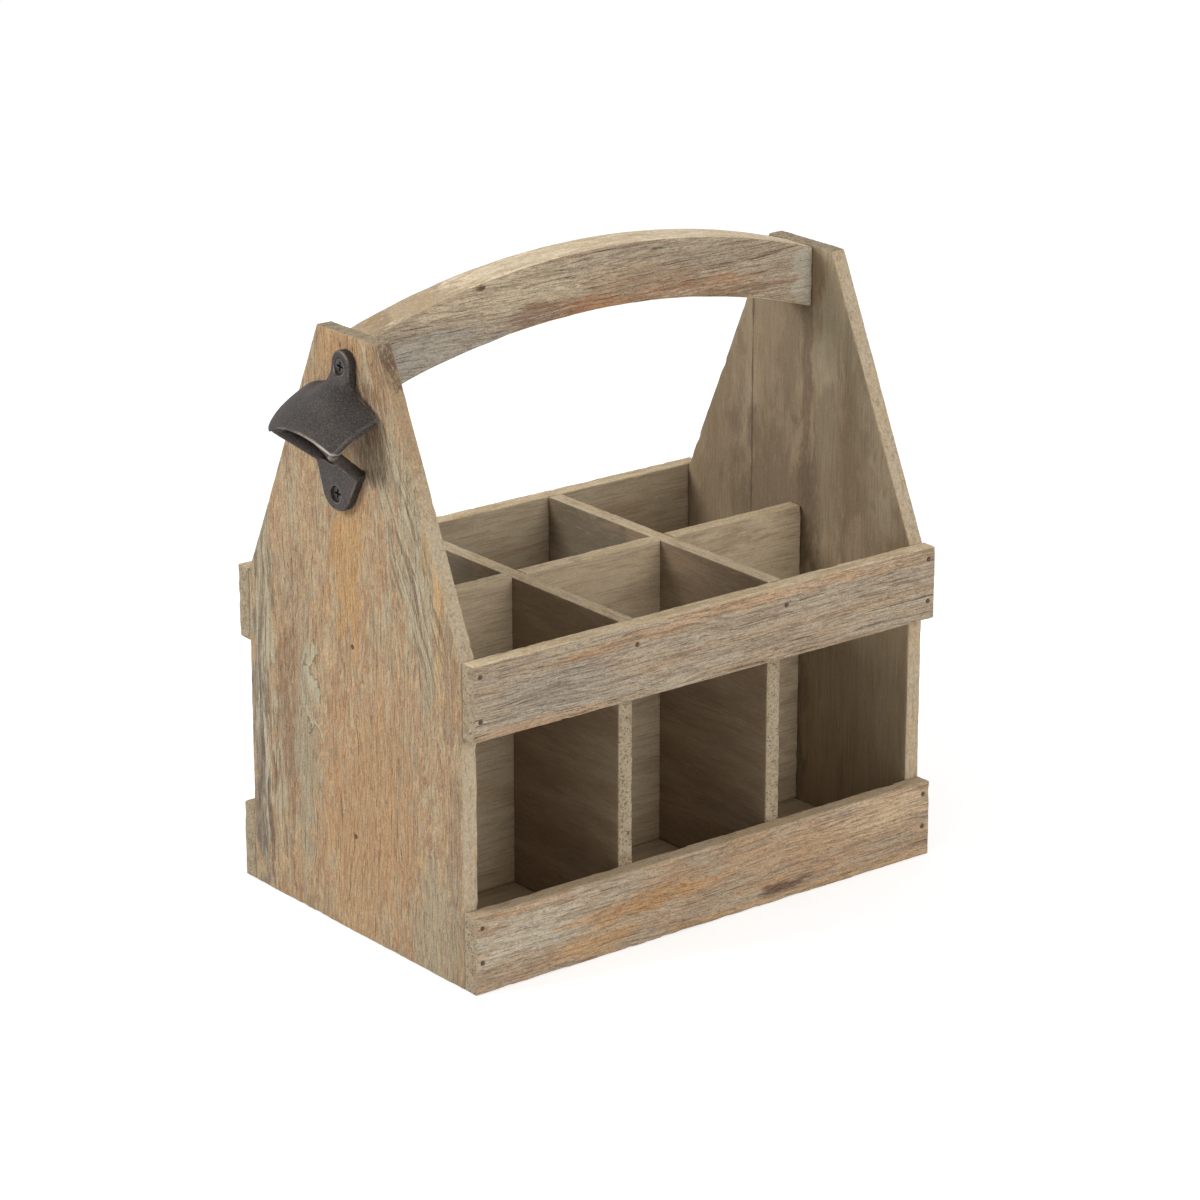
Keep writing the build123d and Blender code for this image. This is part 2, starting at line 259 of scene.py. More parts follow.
def build_board(node, finishes, seed, pitch=1.4 * mm, radius=0.7 * mm, chip=0.5 * mm, heads=(), laps=(),
                bend=None, top=None):
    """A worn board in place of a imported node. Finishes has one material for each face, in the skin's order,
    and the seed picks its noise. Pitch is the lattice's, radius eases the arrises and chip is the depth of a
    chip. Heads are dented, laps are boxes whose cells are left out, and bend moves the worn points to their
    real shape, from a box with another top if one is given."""
    low, high = (np.array(c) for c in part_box(node))
    high[2] = top or high[2]
    planes = []
    for axis in range(3):
        dents = sorted({round(float(place[axis]), 6) for a, s, place in heads if a != axis})
        steps = lattice_planes(low[axis], high[axis], pitch, dents)
        walls = [w for box in laps for w in (box[0][axis], box[1][axis]) if low[axis] < w < high[axis]]
        planes.append(np.unique(np.concatenate([steps, walls])))
    keep = np.ones([len(p) - 1 for p in planes], bool)
    middles = np.meshgrid(*[(p[1:] + p[:-1]) / 2 for p in planes], indexing="ij")
    for lap_low, lap_high in laps:
        inside = [(m > a) & (m < b) for m, a, b in zip(middles, lap_low, lap_high)]
        keep &= ~(inside[0] & inside[1] & inside[2])
    points, quads, faces = lattice_skin(planes, keep)
    points, arris = wear(points, low, high, seed, radius, chip)
    points, nearest = dent(points, low, high, heads)
    if bend is not None:
        points = bend(points)
    materials = list(dict.fromkeys(finishes))
    finish_of_quad = np.array([materials.index(f) for f in finishes])[faces]
    marks = {"arris_mm": arris / mm, "brad_mm": nearest / mm}
    piece = mesh_from_quads(node + "_board", points, quads, materials, finish_of_quad, marks)
    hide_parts(node)
    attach(piece, "root")
    print(node, "has", len(quads), "quads")

# %% [markdown]
# ## Colours and nodes
#
# Colours are written as they look on a screen and turned to linear light by one function. One small function
# adds a node, with its settings and what comes into it, so that a finish reads as a short list of layers.

# %% Turn a hex colour to linear light


def linear(code):
    """A colour such as #b0946f as linear red, green, blue and an alpha of 1, by the sRGB formula."""
    parts = [int(code[i : i + 2], 16) / 255 for i in (1, 3, 5)]
    return tuple(p / 12.92 if p <= 0.04045 else ((p + 0.055) / 1.055) ** 2.4 for p in parts) + (1.0,)

# %% Add a node


def node_adder(tree):
    """The function that adds nodes to a tree, which it empties first."""
    tree.nodes.clear()

    def add(kind, *inputs, **settings):
        """Adds one node. Its operation may follow its kind. Inputs come in order, or in one dictionary by name
        or number. Each is a number, a vector, a colour, a node, whose output in use is linked, or a pair of a
        node and the name of its output."""
        kind, _, operation = kind.partition(" ")
        node = tree.nodes.new("ShaderNode" + kind)
        if operation:
            node.operation = operation
        for name, value in settings.items():
            setattr(node, name, value)
        by_name = inputs and isinstance(inputs[0], dict)
        for key, value in inputs[0].items() if by_name else enumerate(inputs):
            if isinstance(value, bpy.types.Node):
                tree.links.new(next(o for o in value.outputs if o.enabled), node.inputs[key])
            elif isinstance(value, tuple) and isinstance(value[0], bpy.types.Node):
                tree.links.new(value[0].outputs[value[1]], node.inputs[key])
            else:
                node.inputs[key].default_value = value
        return node

    return add


def start_material(name):
    """A new material and the function that adds its nodes."""
    material = bpy.data.materials.new(name)
    material.use_nodes = True
    return material, node_adder(material.node_tree)

# %% [markdown]
# ## Patterns that run with the grain
#
# Wood is drawn out along its grain, so every pattern reads a place in millimetres whose first number runs
# along the grain, the second across it and the third through the board. A slow waver bends that place, so
# that no streak is ruler-straight. A mask says where a colour lies, from 0 to 1: streaks and patches are masks,
# and a coat is a colour laid over the others through its mask. Every finish is a list of coats.

# %% Noise and places along the grain


def drawn_noise(add, grain, length, width, shift, **settings):
    """Noise drawn out to a length and a width in millimetres, and moved by shift so that no two are alike."""
    drawn = add("VectorMath MULTIPLY_ADD", grain, (1 / length, 1 / width, 1 / width), (shift, shift, shift))
    return add("TexNoise", {"Vector": drawn, "Scale": 1.0} | settings)


def grain_space(add, order, shift, waver):
    """The object's place in millimetres, in the order along, across and through the board. Returns it bent
    across the grain by slow noise, by up to the waver, and straight."""
    place = add("TexCoord")
    split = add("SeparateXYZ", {0: (place, "Object")})
    turned = add("CombineXYZ", {i: (split, "XYZ"[a]) for i, a in enumerate(order)})
    straight = add("VectorMath MULTIPLY", turned, (1000, 1000, 1000))
    bend = drawn_noise(add, straight, 55, 22, shift, Detail=1.0)
    offset = add("VectorMath MULTIPLY_ADD", (bend, "Color"), (0, 2 * waver, 2 * waver), (0, -waver, -waver))
    return add("VectorMath ADD", straight, offset), straight

# %% Streaks and patches
fray_share, patch_core, patch_end = 1.3, 1.25, 1.95


def streaks(add, grain, length, width, low, high, shift, detail=2.0, curl=0.0):
    """A mask of streaks: drawn noise, 0 below low and 1 above high. Curl bends the noise by itself."""
    noise = drawn_noise(add, grain, length, width, shift, Detail=detail, Roughness=0.6, Distortion=curl)
    return add("MapRange", noise, low, high, interpolation_type="SMOOTHSTEP")


def patch(add, grain, fray, along, across, reach, breadth):
    """A soft oval mask at a place on the board, in millimetres: the distance from its middle as a share of its
    half sizes, plus a share of the fray, gives 1 up to the core and 0 from the end on."""
    scale, start = (1 / reach, 1 / breadth, 0), (-along / reach, -across / breadth, 0)
    share = add("VectorMath MULTIPLY_ADD", grain, scale, start)
    away = add("VectorMath LENGTH", share)
    frayed = add("Math MULTIPLY_ADD", fray, fray_share, away)
    return add("MapRange", frayed, patch_end, patch_core, interpolation_type="SMOOTHSTEP")

# %% Coats


def streak_coats(add, grain, shift, rows):
    """Coats of streaks. A row is a colour, its cover, and the length, width, low, high, own shift, detail and
    curl of its streaks."""
    return [
        (colour, cover, streaks(add, grain, length, width, low, high, shift + step, *rest))
        for colour, cover, length, width, low, high, step, *rest in rows
    ]


def patch_coats(add, straight, fray, rows):
    """Coats in patches. A row is a colour, its cover, and the patch's place and half sizes."""
    return [(colour, cover, patch(add, straight, fray, *place)) for colour, cover, *place in rows]


def coats_within(add, coats, region):
    """The same coats, but only where a region's mask is."""
    return [(colour, cover, add("Math MULTIPLY", mask, region)) for colour, cover, mask in coats]


def lay_coats(add, ground, coats):
    """Lays coats over a ground colour. A coat is a colour, how much it covers and the mask where it lies."""
    colour = linear(ground)
    for over, cover, mask in coats:
        amount = add("Math MULTIPLY", mask, cover)
        colour = add("Mix", {0: amount, 6: colour, 7: linear(over)}, data_type="RGBA")
    return colour

# %% End a finish


def dusted(add, colour, straight, length, width, spread, shift):
    """The colour made lighter and darker, by up to the spread, by grit of a length and width in millimetres."""
    grit = streaks(add, straight, length, width, 0.3, 0.7, shift, 4.0)
    dust = add("MapRange", grit, 0, 1, 1 - spread, 1 + spread)
    return add("VectorMath MULTIPLY", colour, dust)


def end_finish(add, colour, relief, strength, depth, roughness, gloss=0.5, metallic=0.0):
    """The shader with its colour, over a relief of a depth in millimetres where its mask is 1: raised, or sunk
    if the depth is negative."""
    bump = add("Bump", {"Height": relief, "Strength": strength, "Distance": abs(depth) * mm}, invert=depth < 0)
    shader = add("BsdfPrincipled", {"Base Color": colour, "Normal": bump, "Roughness": roughness,
                                    "Specular IOR Level": gloss, "Metallic": metallic})
    add("OutputMaterial", {"Surface": shader})

# %% [markdown]
# ## Limewashed, weathered fir
#
# The faces that show are fir boards, rough from the saw, brushed with thin lime and left outside. The soft
# early wood wears away and holds the lime, so pale streaks lie in the hollows, while the harder late wood
# stands as thin brown lines. Where the lime has rubbed off, the warm wood shows orange. The brush has left
# combed strokes at the edges, and in one place the lime has dried to a wavy line. The eye reads this as a dry,
# dull surface with fine streaks, about 1 mm wide, over broad drifts of tan, grey and orange.

# %% Late wood, combed lime and dried lime
ring_bend = 9.0


def late_wood(add, grain, split, ring_width, shift):
    """A mask of late wood, in drifts. A growth ring is the decimal part of the place across the grain over the
    ring's width, bent by slow noise: it darkens slowly from 0 to 1 and then ends at once, as late wood does."""
    bend = drawn_noise(add, grain, 90, 30, shift, Detail=2.0)
    turn = add("Math MULTIPLY", bend, ring_bend)
    ring = add("Math MULTIPLY_ADD", (split, "Y"), 1 / ring_width, turn)
    phase = add("Math FRACT", ring)
    late = add("MapRange", phase, 0.55, 0.95)
    shown = streaks(add, grain, 45, 18, 0.47, 0.62, shift + 21.0)
    return add("Math MULTIPLY", late, shown)


def combed_lime(add, split, straight, fray, shift, places):
    """Long pale and dark strokes in places. They lean by a slope: the place across the grain loses the slope
    times the place along it."""
    coats = []
    for lean, *place in places:
        across = add("Math MULTIPLY_ADD", (split, "X"), -lean, (split, "Y"))
        leaning = add("CombineXYZ", {0: (split, "X"), 1: across, 2: (split, "Z")})
        strokes = streak_coats(add, leaning, shift, [
            ("#b6ac92", 0.68, 42, 3.6, 0.51, 0.57, 41.3, 3.0),
            ("#6a5542", 0.58, 36, 2.4, 0.51, 0.57, 45.8, 3.0),
        ])
        coats += coats_within(add, strokes, patch(add, straight, fray, *place))
    return coats


def dried_lime(add, straight, fray, shift, places):
    """A wavy pale line with a dark one beside it in places: bands about the level line of a noise, each given
    by its middle and its half width."""
    coats = []
    for place in places:
        wave = streaks(add, straight, 24, 15, 0.0, 1.0, shift + 30.5, 3.0)
        level = add("Math SUBTRACT", wave, 0.5)
        lines = [
            (colour, cover, add("Math COMPARE", level, middle, half))
            for colour, cover, middle, half in (("#66523f", 0.5, -0.045, 0.045), ("#afa68b", 1.0, 0.02, 0.055))
        ]
        coats += coats_within(add, lines, patch(add, straight, fray, *place))
    return coats

# %% The weathered finish


def weathered_fir(name, order, shift, look, patches=(), combed=(), smears=(), dried=()):
    """A finish for an outer face. The look gives each coat's colour and cover, and the sizes that its streaks
    share. Broad drifts come first, then patches, fine streaks, combed lime, smears, which are patches on top,
    and dried lime. Last come the paler arrises and the rust round the brads, by the marks on the points."""
    material, add = start_material(name)
    grain, straight = grain_space(add, order, shift, look["waver"])
    split = add("SeparateXYZ", {0: grain})
    width, drift, vein = look["streak_width"], look["drift"], look["vein_length"]
    fray = streaks(add, grain, 15 * drift, 6.0, 0.2, 0.8, shift + 3.1, 5.0)
    late = late_wood(add, grain, split, look["ring_width"], shift)
    fine = streak_coats(add, grain, shift, [
        (*look["pale_vein"], 1.2 * vein, 1.2 * width, 0.53, 0.64, 37.4, 4.0),
        (*look["dark_vein"], vein, 0.9 * width, 0.52, 0.62, 33.1, 3.0),
        (*look["hair"], 9, 0.9 * width, 0.5, 0.66, 11.3, 3.0),
        (*look["thread"], 8, 0.85 * width, 0.5, 0.64, 14.9, 3.0),
        (*look["pore"], 4.5, 0.55 * width, 0.6, 0.67, 17.1),
        (*look["crack"], 60, 0.9, 0.64, 0.68, 27.7, 3.0),
    ])
    dark_vein, hair, thread, pore, crack = (mask for colour, cover, mask in fine[1:])
    arris = add("Attribute", attribute_name="arris_mm")
    rubbed = add("MapRange", (arris, "Fac"), 1.8, 0.2)
    brad = add("Attribute", attribute_name="brad_mm")
    rust = add("MapRange", (brad, "Fac"), 1.5, 0.7)
    coats = streak_coats(add, grain, shift, [
        (*look["warm"], 36 * drift, 14, 0.42, 0.62, 1.7, 4.0),
        (*look["brown"], 20 * drift, 7, 0.45, 0.65, 5.3, 5.0),
        (*look["lime"], 28 * drift, 6, 0.45, 0.62, 8.9, 5.0),
        *look["curls"],
    ])
    coats += patch_coats(add, straight, fray, patches) + fine[:2] + [(*look["late"], late)] + fine[2:]
    coats += combed_lime(add, split, straight, fray, shift, combed)
    coats += patch_coats(add, straight, fray, smears) + dried_lime(add, straight, fray, shift, dried)
    coats += coats_within(add, [(look["worn"], 0.5, rubbed)], fray) + [("#3b2c22", 0.85, rust)]
    colour = dusted(add, lay_coats(add, look["ground"], coats), straight, 1.1, 0.8, 0.18, shift)
    relief = add("Math MULTIPLY_ADD", hair, 0.5, pore)
    for mask, share in ((dark_vein, 0.7), (crack, 2.0), (late, -0.5)):
        relief = add("Math MULTIPLY_ADD", mask, share, relief)
    end_finish(add, colour, relief, 0.7, -0.3, 0.88, 0.25)
    return material

# %% Looks of the weathered faces
along_z, along_x, along_y = (2, 1, 0), (0, 2, 1), (1, 2, 0)

panel_look = {
    "ground": "#ac9374", "warm": ("#b78e66", 0.5), "brown": ("#9a765c", 0.5), "lime": ("#aca187", 0.6),
    "pale_vein": ("#b8ad92", 0.32), "dark_vein": ("#856a52", 0.32), "late": ("#82674e", 0.4),
    "hair": ("#856a52", 0.28), "thread": ("#b8ad92", 0.3), "pore": ("#5f4a3a", 0.34), "crack": ("#43362c", 0.6),
    "worn": "#bca684", "waver": 5.0, "drift": 1.0, "streak_width": 1.1, "vein_length": 22, "ring_width": 3.6,
    "curls": [
        ("#9a765c", 0.6, 13, 7, 0.5, 0.6, 51.7, 5.0, 1.6),
        ("#c3a57a", 0.6, 11, 6, 0.51, 0.61, 57.2, 5.0, 1.6),
    ],
}
upper_slat_look = {
    "ground": "#a89781", "warm": ("#b2906e", 0.4), "brown": ("#8f775f", 0.45), "lime": ("#b1a58f", 0.55),
    "pale_vein": ("#b6aa95", 0.55), "dark_vein": ("#715d4b", 0.55), "late": ("#77655a", 0.4),
    "hair": ("#715d4b", 0.28), "thread": ("#b6aa95", 0.28), "pore": ("#55443a", 0.35),
    "crack": ("#43362c", 0.75), "worn": "#b09576", "waver": 2.4, "drift": 2.4, "streak_width": 0.9,
    "vein_length": 62, "ring_width": 3.2, "curls": [],
}
lower_slat_look = upper_slat_look | {
    "ground": "#b0977c", "warm": ("#b98f66", 0.6), "pale_vein": ("#b6aa95", 0.35),
    "dark_vein": ("#715d4b", 0.35), "hair": ("#715d4b", 0.35), "crack": ("#43362c", 0.35), "drift": 1.5,
}
handle_look = upper_slat_look | {
    "pale_vein": ("#b6aa95", 0.5), "dark_vein": ("#715d4b", 0.5), "hair": ("#715d4b", 0.4), "drift": 1.6,
    "vein_length": 40,
}

# %% The weathered faces
panel_outer = weathered_fir("limewashed_fir_left_panel", along_z, 0.0, panel_look, [
    ("#a69c82", 0.75, 205, -55, 75, 15),
    ("#aaa086", 0.6, 250, -30, 40, 9),
    ("#bd9059", 0.7, 195, 3, 55, 13),
    ("#c49d69", 0.8, 200, -68, 60, 3.5),
    ("#9a6f4b", 0.75, 272, -25, 26, 8),
    ("#b48a5c", 0.6, 286, 6, 18, 18),
    # Painted shadow: a dark patch to the right of the opener's hood, where the hood's shadow falls on the wood.
    ("#6a5442", 0.5, 252, -18, 24, 7),
    # Painted shadow: a darker patch under the front corner of the opener's hood.
    ("#54433a", 0.4, 243, -12, 12, 7),
    ("#7e624a", 0.65, 92, 54, 62, 9),
    ("#c39c69", 0.6, 222, -60, 30, 3.5),
    ("#9a7350", 0.5, 122, 44, 26, 6),
    ("#bf9f78", 0.5, 26, 0, 34, 20),
    ("#8a7058", 0.5, 150, -76, 40, 6),
    ("#8b765f", 0.6, 40, -79, 60, 7),
    ("#5a4f45", 0.75, 85, 75.5, 75, 1.0),
    ("#75604c", 0.6, 150, 48, 45, 0.8),
    ("#b58b60", 0.55, 70, -12, 60, 38),
    ("#9f967f", 0.8, 150, 74, 95, 9),
    ("#736d66", 0.85, 45, 77, 50, 7),
    ("#857f73", 0.6, 110, 78, 40, 5),
    ("#9c937d", 0.7, 85, 40, 60, 8),
    ("#9f967f", 0.6, 20, -65, 40, 16),
], combed=[
    (0.45, 255, -21, 32, 11),
    (0.45, 212, -42, 38, 13),
    (0.45, 172, -58, 30, 12),
    (0.0, 120, 74, 95, 9),
    (0.0, 45, 66, 45, 12),
], dried=[(112, 33, 30, 7)])
upper_slat_front = weathered_fir("limewashed_fir_front_upper_slat", along_x, 20.0, upper_slat_look, [
    ("#c39c74", 0.6, 40, 157, 100, 3.5),
    ("#b0865f", 0.55, -60, 153, 50, 3),
    ("#b28a65", 0.6, -110, 126, 50, 3),
    ("#998f82", 0.6, -90, 139, 50, 10),
])
lower_slat_front = weathered_fir("limewashed_fir_front_lower_slat", along_x, 31.0, lower_slat_look, [
    ("#c0b49f", 0.85, -105, 24, 40, 12),
    ("#b98a57", 0.7, -40, 21, 45, 5),
    ("#bb946d", 0.55, 70, 24, 80, 9),
    ("#cfb391", 0.8, 114, 29, 30, 10),
    ("#c79c69", 0.6, -68, 9, 26, 6),
    ("#c09a6c", 0.5, 60, 2.5, 110, 2.2),
    ("#674a38", 0.9, 50, 7, 20, 2.8),
])
weathered_back = weathered_fir("limewashed_fir_back", along_x, 47.0, upper_slat_look)
panel_outer_right = weathered_fir("limewashed_fir_right_panel", along_z, 60.0, panel_look, [
    ("#a59b82", 0.7, 120, 40, 90, 20),
    ("#b98c59", 0.6, 90, -30, 80, 20),
])
handle_face = weathered_fir("limewashed_fir_handle", along_x, 73.0, handle_look, [
    ("#a19a8e", 0.8, -98, 277, 48, 13),
    ("#c6b496", 0.8, -48, 300, 54, 10),
    ("#9c7859", 0.6, 25, 291, 55, 10),
    ("#a9754e", 0.6, -8, 288, 26, 5),
    ("#ad8059", 0.5, 55, 286, 50, 4.5),
    ("#755340", 0.65, -40, 288, 24, 5),
    ("#78583f", 0.6, 60, 280, 55, 3.5),
    ("#b09a7f", 0.5, 25, 303, 50, 6),
    ("#978a78", 0.55, 85, 301, 40, 7),
    ("#57412f", 0.95, -71, 306.5, 3.0, 1.6),
], smears=[
    ("#b2a997", 0.85, 126, 279, 7, 20),
    ("#a59d8e", 0.4, -98, 278, 44, 12),
])

# %% [markdown]
# ## Sawn edges, end grain and inner faces
#
# A board's narrow edges are rip-sawn and only lightly limed: paler and plainer than its face. Its ends are cut
# across the grain and show pores as dark specks. The inner faces and the dividers are planed smooth before
# assembly and carry a thin coat of brownish wash, so they have soft clouds, faint lines and hardly any relief.

# %% The edge finish


def sawn_edge(name, order, shift, ground="#b6a58b", streak="#87745d", dirt_cover=0.42, patches=()):
    """A finish for a rip-sawn edge: an even ground with patches, short streaks, torn fibres and a little dirt.
    Fibres stand up and dirt sits in hollows."""
    material, add = start_material(name)
    grain, straight = grain_space(add, order, shift, waver=3.0)
    fray = streaks(add, grain, 9, 3, 0.2, 0.8, shift + 3.1, 5.0)
    coats = patch_coats(add, straight, fray, patches) + streak_coats(add, grain, shift, [
        ("#b3966f", 0.5, 30, 6, 0.45, 0.65, 0.0, 4.0),
        (streak, 0.55, 11, 1.6, 0.5, 0.68, 4.4, 5.0),
        ("#aca38e", 0.5, 6, 0.9, 0.5, 0.68, 2.2, 4.0),
        ("#54463a", dirt_cover, 5.0, 0.75, 0.58, 0.7, 6.1, 5.0),
    ])
    colour = dusted(add, lay_coats(add, ground, coats), straight, 1.2, 0.9, 0.16, shift)
    fibre, dirt = (mask for over, cover, mask in coats[-2:])
    rise = add("Math MULTIPLY_ADD", dirt, -1.0, fibre)
    end_finish(add, colour, rise, 0.5, 0.3, 0.9, 0.2)
    return material


edge_along_z = sawn_edge("rip_sawn_edge_upright", along_z, 5.0)
left_panel_edge = sawn_edge("rip_sawn_edge_left_panel", along_z, 8.0, patches=[
    ("#a0805e", 0.7, 266, -40, 32, 30),
    ("#66503e", 0.9, 287, -28, 13, 14),
])
edge_along_x = sawn_edge("rip_sawn_edge_lengthways", along_x, 15.0, "#c4b192")
upper_slat_edge = sawn_edge("rip_sawn_edge_upper_slat", along_x, 17.0, "#d2bd9c", "#a08768")
lower_slat_edge = sawn_edge("rip_sawn_edge_lower_slat", along_x, 19.0, "#b5a185")
edge_along_y = sawn_edge("rip_sawn_edge_crossways", along_y, 25.0, "#c0ae90")
handle_edge = sawn_edge("sanded_handle_edge", along_x, 35.0, "#e6d3b5", "#bda687", 0.22, [
    ("#9f886a", 0.65, -106, 303, 30, 12),
    ("#84705a", 0.6, -128, 297, 12, 12),
])

# %% The end grain


def end_grain(name, shift):
    """A finish for a cross-cut end: pores as dark specks about 0.7 mm wide, larger than real so that they
    show."""
    material, add = start_material(name)
    grain = grain_space(add, (0, 1, 2), shift, waver=0.5)[0]
    coats = streak_coats(add, grain, shift, [
        ("#87725a", 0.6, 5, 5, 0.45, 0.65, 0.0, 4.0),
        ("#bdb197", 0.4, 1.5, 1.5, 0.55, 0.66, 5.0, 4.0),
        ("#51402f", 0.75, 1.1, 1.1, 0.55, 0.66, 1.0, 4.0),
    ])
    end_finish(add, lay_coats(add, "#a1927a", coats), coats[-1][2], 0.6, -0.35, 0.92, 0.2)
    return material


end_cut = end_grain("cross_cut_end_grain", 3.0)

# %% The inner finish


def washed_face(name, order, shift, ground="#97856b", patches=()):
    """A finish for a planed inner face under a thin brown wash: soft, broad clouds, patches and faint short
    lines, the darker ones sunk a little."""
    material, add = start_material(name)
    grain, straight = grain_space(add, order, shift, waver=3.0)
    fray = streaks(add, grain, 20, 8, 0.2, 0.8, shift + 3.1, 4.0)
    clouds = streak_coats(add, grain, shift, [
        ("#a3937b", 0.42, 75, 15, 0.42, 0.62, 0.0, 4.0),
        ("#7d6950", 0.34, 55, 9, 0.47, 0.67, 4.4, 4.0),
        ("#9a7f60", 0.3, 30, 12, 0.47, 0.64, 9.4, 4.0),
    ])
    lines = streak_coats(add, grain, shift, [
        ("#6f5c47", 0.36, 30, 0.9, 0.47, 0.66, 2.6, 3.0),
        ("#a8987e", 0.25, 9, 0.8, 0.53, 0.7, 6.8, 3.0),
    ])
    colour = lay_coats(add, ground, clouds + patch_coats(add, straight, fray, patches) + lines)
    colour = dusted(add, colour, straight, 1.3, 0.9, 0.08, shift)
    end_finish(add, colour, lines[0][2], 0.25, -0.15, 0.82, 0.3)
    return material


inner_along_z = washed_face("brown_washed_face_upright", along_z, 4.0, patches=[
    ("#85745e", 0.5, 190, 14, 200, 22),
    ("#79664f", 0.5, 165, 58, 70, 22),
    ("#6e5d49", 0.6, 160, 18, 42, 34),
    ("#75654f", 0.45, 245, 4, 40, 14),
    ("#b2a388", 0.6, 262, -30, 40, 14),
    ("#6b5a46", 0.6, 200, -6.5, 200, 4.0),
    ("#5f4f3d", 0.5, 162, -10, 40, 9),
    ("#a89a80", 0.7, 218, -23, 72, 8),
    ("#7b6950", 0.3, 200, -37, 200, 3.0),
    ("#b0a186", 0.6, 222, -60, 62, 14),
    ("#6b5a46", 0.5, 185, -30, 42, 24),
    ("#54463a", 0.75, 200, 34.5, 160, 0.7),
])
inner_along_x = washed_face("brown_washed_face_lengthways", along_x, 14.0)
inner_slat = washed_face("brown_washed_slat_back", along_x, 64.0, "#ac9d84")
inner_along_y = washed_face("brown_washed_face_crossways", along_y, 24.0, "#83705a", [
    ("#5f5b4c", 0.6, 48, 128, 42, 45),
])
divider_long = washed_face("brown_washed_long_divider", along_x, 54.0, "#b3a084", [
    ("#cbb899", 0.7, 105, 105, 45, 60),
])
print("The wood has", len(bpy.data.materials), "finishes")

# %% [markdown]
# ## The end panels
#
# Each end is a wide board, straight up to the shoulder and tapered above it. The skin is worn as a full
# rectangle first, so that its arrises stay eased alike, and only then drawn in towards the narrow top.

# %% Build the end panels
arris_margin = edge_offsets[-1]


def half_width(height):
    """The panel's half width: full up to the shoulder, and from there falling evenly to that at the top."""
    up = np.clip((height - shoulder) / (panel_top - shoulder), 0, 1)
    return panel_half + (panel_top_half - panel_half) * up


def taper(points):
    """Draws a rectangle in to the panel's outline. Points near an edge keep their distance from it, and the
    rest move in proportion."""
    half, y = half_width(points[:, 2]), points[:, 1]
    core = panel_half - arris_margin
    beside = np.sign(y) * (half - panel_half + np.abs(y))
    points[:, 1] = np.where(np.abs(y) > core, beside, y / core * (half - arris_margin))
    return points


for word, side, outer, edge, seed in (
    ("left", -1, panel_outer, left_panel_edge, 10), ("right", 1, panel_outer_right, edge_along_z, 20)
):
    heads = heads_of(f"{word}_handle_nails", 0, side) + heads_of(f"{word}_divider_nails", 0, side)
    for axis, s, place in heads:  # a head's place before the taper draws it in
        place[1] *= (panel_half - arris_margin) / (half_width(place[2]) - arris_margin)
    finishes = [outer, inner_along_z][::-side] + [edge, edge, end_cut, end_cut]
    build_board(f"{word}_end_panel", finishes, seed, chip=0.9 * mm, heads=heads, bend=taper)

# %% [markdown]
# ## Slats, floor and dividers
#
# The slats are plain boards. The dividers cross in laps: the long one is slotted from above and the short ones
# from below, each slot a little wider than the board that it takes.

# %% Build the slats
for word, side in (("front", -1), ("back", 1)):
    for level, front, edge, seed in (
        ("upper", upper_slat_front, upper_slat_edge, 30), ("lower", lower_slat_front, lower_slat_edge, 40)
    ):
        node = f"{word}_{level}_slat"
        outer = front if side < 0 else weathered_back
        finishes = [end_cut, end_cut] + [outer, inner_slat][::-side] + [edge, edge]
        heads = heads_of(f"{node}_nails", 1, side)
        build_board(node, finishes, seed + side, 1.2 * mm, 0.9 * mm, 0.9 * mm, heads)

# %% Build the floor and the dividers
build_board("bottom_board", [inner_along_x] * 6, 50, pitch=2.5 * mm)
long_low, long_high = (np.array(c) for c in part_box("long_divider"))
lap_level = (long_low[2] + long_high[2]) / 2
long_laps, lap_clearance, far = [], 0.15 * mm, 5 * mm
for word, seed in (("left", 60), ("right", 70)):
    cross_low, cross_high = (np.array(c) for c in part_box(f"{word}_cross_divider"))
    long_laps.append((
        (cross_low[0] - lap_clearance, long_low[1] - far, lap_level),
        (cross_high[0] + lap_clearance, long_high[1] + far, long_high[2] + far),
    ))
    cross_lap = (
        (cross_low[0] - far, long_low[1] - lap_clearance, cross_low[2] - far),
        (cross_high[0] + far, long_high[1] + lap_clearance, lap_level),
    )
    finishes = [inner_along_y] * 2 + [end_cut] * 2 + [edge_along_y] * 2
    build_board(f"{word}_cross_divider", finishes, seed, chip=0.8 * mm, laps=[cross_lap])
finishes = [end_cut] * 2 + [divider_long] * 2 + [edge_along_x] * 2
build_board("long_divider", finishes, 80, chip=0.8 * mm, laps=long_laps)

# %% [markdown]
# ## The arched handle
#
# The handle is sawn from a straight board along two like arcs, so its grain runs straight while its edges
# curve. The skin is worn as a straight bar and then lifted along the arc.

# %% Build the handle
handle_points = node_points("handle")
handle_half = handle_points[:, 0].max()
handle_end_top = handle_points[handle_points[:, 0] > handle_half - on_plane, 2].max()
handle_rise = handle_points[:, 2].max() - handle_end_top
arc_radius = (handle_half**2 + handle_rise**2) / (2 * handle_rise)


def arch(points):
    """Lifts a straight bar along an arc: by the rise less the radius, plus the circle's height over X."""
    points[:, 2] += handle_rise - arc_radius + np.sqrt(arc_radius**2 - points[:, 0] ** 2)
    return points


finishes = [end_cut] * 2 + [handle_face] * 2 + [handle_edge] * 2
build_board("handle", finishes, 90, 1.1 * mm, 1.3 * mm, 0.4 * mm, bend=arch, top=handle_end_top)
print("Arc radius of the handle:", arc_radius)

# %% [markdown]
# ## The cast opener
#
# The opener is cast iron, poured in sand, tumbled and blackened. Its hood, neck, struts and plate flow into
# each other in fillets, which faces and bevels give badly. A distance field gives them well: a function that
# says, for any point, how far it lies from the surface, negative inside. Fields of plain forms are joined by a
# soft minimum, which leaves a fillet where two forms meet. The work is in millimetres, in the opener's own
# frame: X out from the wood, Y to the caddy's front and Z up from the middle between its two screws.

